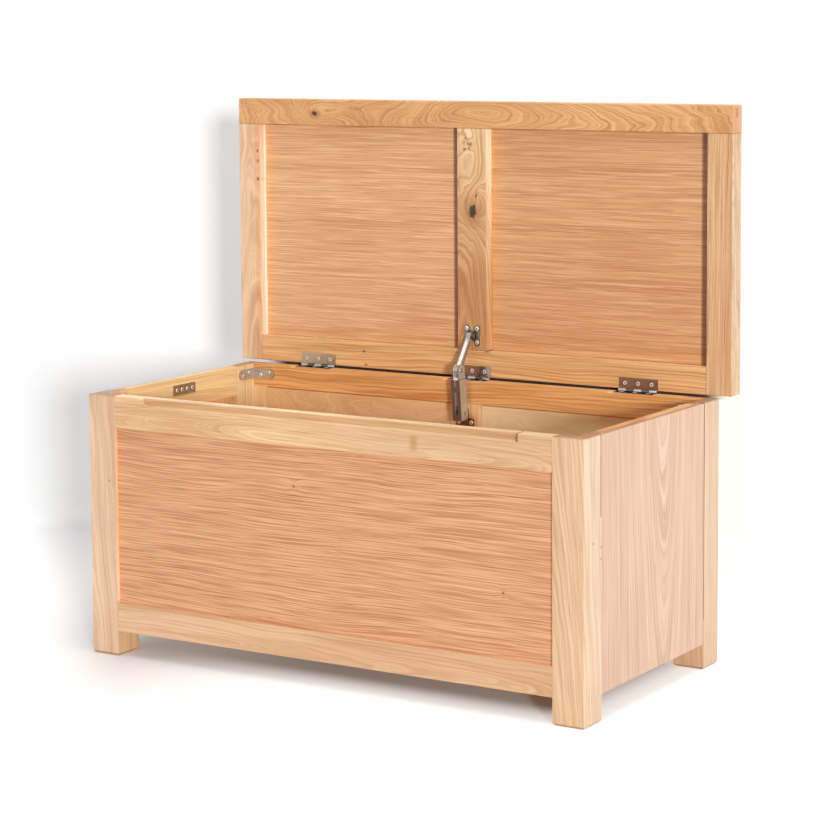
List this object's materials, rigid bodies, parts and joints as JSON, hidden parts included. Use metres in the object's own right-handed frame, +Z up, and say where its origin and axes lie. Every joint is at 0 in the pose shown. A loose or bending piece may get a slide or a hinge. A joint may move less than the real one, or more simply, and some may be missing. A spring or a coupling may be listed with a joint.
{
  "type": "blanket chest",
  "caption": "Oak blanket chest on square post feet, with a hinged frame-and-panel lid standing open, a finger pull along the front edge and a sprung lid stay.",
  "frame": {"origin": "on the floor, in the middle of the box round the open chest (the lid stands behind the carcass)", "axes": "+X to the right along the chest's length, -Y out of its front, +Z up"},
  "size_m": [0.93, 0.476, 0.8716],
  "materials": {
    "oak": "clear satin lacquer on solid oak",
    "oak_veneer": "clear satin lacquer on oak veneer",
    "plywood": "matt pale plywood",
    "satin_nickel_steel": "satin nickel plate",
    "spring_steel": "bright drawn steel"
  },
  "bodies": {
    "carcass": {"back_bottom_rail": "oak", "back_left_post": "oak", "back_muntin": "oak", "back_panel_left": "plywood", "back_panel_right": "plywood", "back_right_post": "oak", "back_top_rail": "oak", "corner_brace_back_left": "satin_nickel_steel", "corner_brace_back_right": "satin_nickel_steel", "corner_brace_front_left": "satin_nickel_steel", "corner_brace_front_right": "satin_nickel_steel", "floor_cleat_back": "oak", "floor_cleat_front": "oak", "floor_panel": "plywood", "front_bottom_rail": "oak", "front_left_post": "oak", "front_panel": "oak_veneer", "front_right_post": "oak", "front_top_rail": "oak", "hinge_left_fixed_leaf": "satin_nickel_steel", "hinge_left_pin": "satin_nickel_steel", "hinge_middle_fixed_leaf": "satin_nickel_steel", "hinge_middle_pin": "satin_nickel_steel", "hinge_right_fixed_leaf": "satin_nickel_steel", "hinge_right_pin": "satin_nickel_steel", "left_side_bottom_rail": "oak", "left_side_panel": "oak_veneer", "left_side_top_rail": "oak", "right_side_bottom_rail": "oak", "right_side_panel": "oak_veneer", "right_side_top_rail": "oak", "side_plate_left": "satin_nickel_steel", "side_plate_right": "satin_nickel_steel", "stay_foot_bracket": "satin_nickel_steel", "stay_foot_pin": "satin_nickel_steel"},
    "lid": {"hinge_left_lid_leaf": "satin_nickel_steel", "hinge_middle_lid_leaf": "satin_nickel_steel", "hinge_right_lid_leaf": "satin_nickel_steel", "lid_back_rail": "oak", "lid_front_rail": "oak", "lid_left_stile": "oak", "lid_muntin": "oak", "lid_panel_left": "oak_veneer", "lid_panel_right": "oak_veneer", "lid_right_stile": "oak", "stay_lid_bracket": "satin_nickel_steel", "stay_lid_pin": "satin_nickel_steel"},
    "stay_housing": {"stay_elbow_pin": "satin_nickel_steel", "stay_housing": "satin_nickel_steel", "stay_spring": "spring_steel"},
    "stay_arm": {"stay_arm": "satin_nickel_steel"},
    "stay_plunger": {"stay_plunger": "spring_steel"}
  },
  "joints": [
    {"name": "lid_hinge", "type": "hinge", "parent": "carcass", "child": "lid", "pos_m": [0, 0.20525, 0.41875], "axis": [1, 0, 0], "range_deg": [0, 90]},
    {"name": "stay_foot_pivot", "type": "hinge", "parent": "carcass", "child": "stay_housing", "pos_m": [0, 0.16725, 0.36615], "axis": [1, 0, 0], "range_deg": [0, 90]},
    {"name": "stay_elbow_pivot", "type": "hinge", "parent": "stay_housing", "child": "stay_arm", "pos_m": [0, 0.1605, 0.437], "axis": [1, 0, 0], "range_deg": [-90, 0]},
    {"name": "stay_plunger_slide", "type": "slide", "parent": "stay_housing", "child": "stay_plunger", "axis": [0, 0.0948, -0.9955], "range_m": [0, 0.005], "deforming": ["stay_spring"]}
  ],
  "couplings": [
    {"joint": "stay_foot_pivot", "follows": "lid_hinge", "ratio": 1},
    {"joint": "stay_elbow_pivot", "follows": "lid_hinge", "ratio": -1},
    {"joint": "stay_plunger_slide", "follows": "lid_hinge", "m_per_rad": 0.003183}
  ]
}
